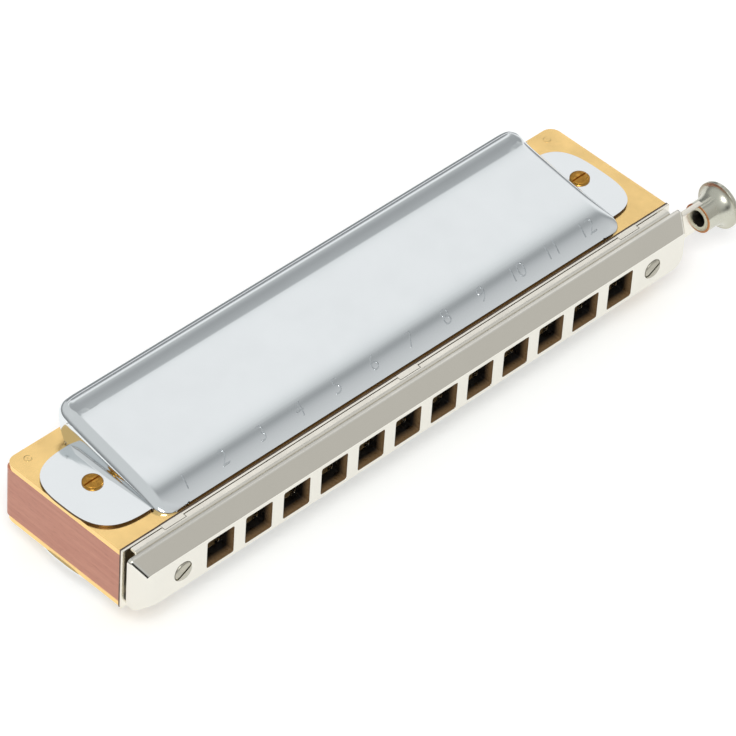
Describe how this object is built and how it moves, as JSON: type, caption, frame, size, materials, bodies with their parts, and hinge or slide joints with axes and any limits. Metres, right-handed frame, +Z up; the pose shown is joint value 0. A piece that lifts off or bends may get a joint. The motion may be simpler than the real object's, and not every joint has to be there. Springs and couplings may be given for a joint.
{
  "type": "chromatic harmonica",
  "caption": "Chromatic harmonica: wooden comb between two brass reed plates, stamped metal covers, flat mouthpiece with square holes, and a sprung slide worked by an end button.",
  "frame": {"origin": "centre of the mouthpiece's front face, midway between the two middle holes, on the mid-plane of the wooden comb", "axes": "+X along the instrument from the lowest hole towards the slide button, +Y from the player's lips towards the back, +Z up from the comb's mid-plane towards the upper cover, as the instrument is held for playing"},
  "size_m": [0.1544, 0.0371, 0.0268],
  "materials": {
    "wood": "clear lacquer over planed pear wood",
    "plate_brass": "bright rolled sheet",
    "reed_brass": "fine ground along the reed",
    "valve_film": "thin matt film",
    "cover_chrome": "mirror polish",
    "mouth_chrome": "mirror polish, soft edges",
    "screw_brass": "turned, slightly darkened",
    "slide_nickel": "fine brushed nickel silver",
    "spring_steel": "drawn wire",
    "button_nickel": "worn polish"
  },
  "bodies": {
    "body": {"comb": "wood", "upper_reed_plate": "plate_brass", "lower_reed_plate": "plate_brass", "upper_draw_reeds": "reed_brass", "upper_blow_reeds": "reed_brass", "lower_draw_reeds": "reed_brass", "lower_blow_reeds": "reed_brass", "upper_reed_rivets": "screw_brass", "lower_reed_rivets": "screw_brass", "upper_outer_valves": "valve_film", "upper_inner_valves": "valve_film", "lower_outer_valves": "valve_film", "lower_inner_valves": "valve_film", "upper_plate_nails": "screw_brass", "lower_plate_nails": "screw_brass", "upper_cover": "cover_chrome", "lower_cover": "cover_chrome", "cover_screws": "screw_brass", "cover_nuts": "screw_brass", "mouthpiece": "mouth_chrome", "mouthpiece_screws": "mouth_chrome", "slide_channel": "slide_nickel", "slide_back_plate": "slide_nickel", "return_spring": "spring_steel"},
    "slide": {"slide": "slide_nickel", "button": "button_nickel"}
  },
  "joints": [
    {"name": "slide_press", "type": "slide", "parent": "body", "child": "slide", "axis": [-1, 0, 0], "range_m": [0, 0.00465], "stiffness_N_per_m": 450, "springref_m": -0.003, "deforming": ["return_spring"]}
  ]
}
